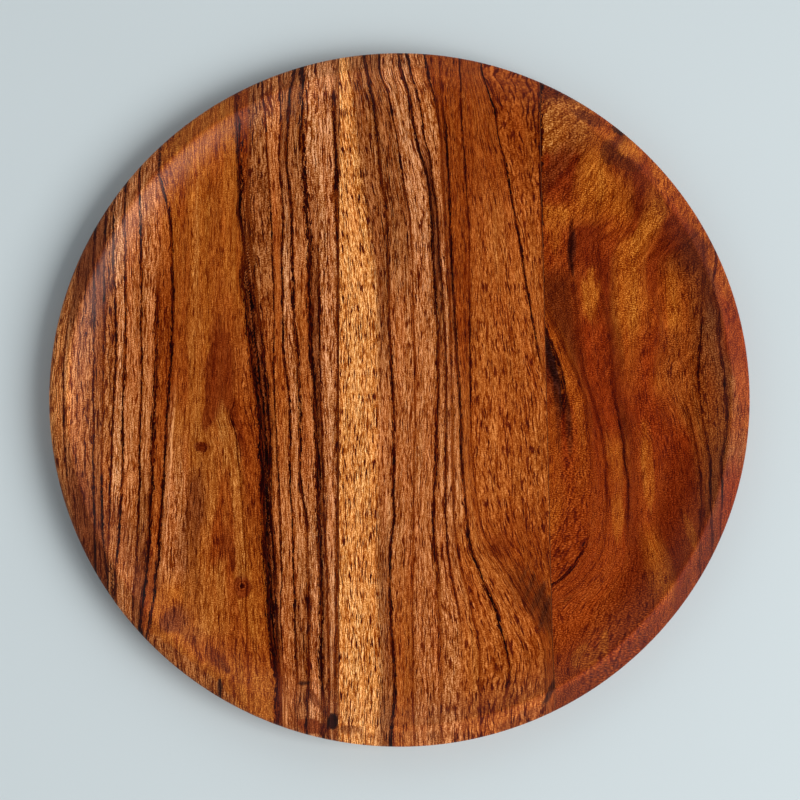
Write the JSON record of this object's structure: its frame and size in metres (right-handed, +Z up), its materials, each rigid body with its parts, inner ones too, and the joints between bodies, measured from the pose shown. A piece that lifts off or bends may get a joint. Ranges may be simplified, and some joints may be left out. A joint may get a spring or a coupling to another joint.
{
  "type": "wooden serving platter",
  "caption": "Round shallow wooden serving platter turned from boards glued edge to edge, with a flat well, a cove rising to the crest of the rim, a bevelled round edge, an undercut and a flat foot.",
  "frame": {"origin": "centre of the flat foot, on the surface that the platter stands on", "axes": "+Z up through the middle of the dish, +Y along the grain of the boards, +X across the boards from the widest board to the narrowest"},
  "size_m": [0.3, 0.3, 0.018],
  "materials": {
    "striped_wood": "oiled, satin, brown with near-black stripes along the grain",
    "pale_edged_wood": "oiled, satin, orange brown with a pale band along one edge",
    "red_curly_wood": "oiled, satin, red brown with curly, shimmering figure",
    "cured_glue": "cured wood glue, sanded flush and stained by the oil"
  },
  "bodies": {
    "root": {"left_board": "striped_wood", "middle_board": "pale_edged_wood", "right_board": "red_curly_wood", "left_glue_film": "cured_glue", "right_glue_film": "cured_glue"}
  },
  "joints": []
}
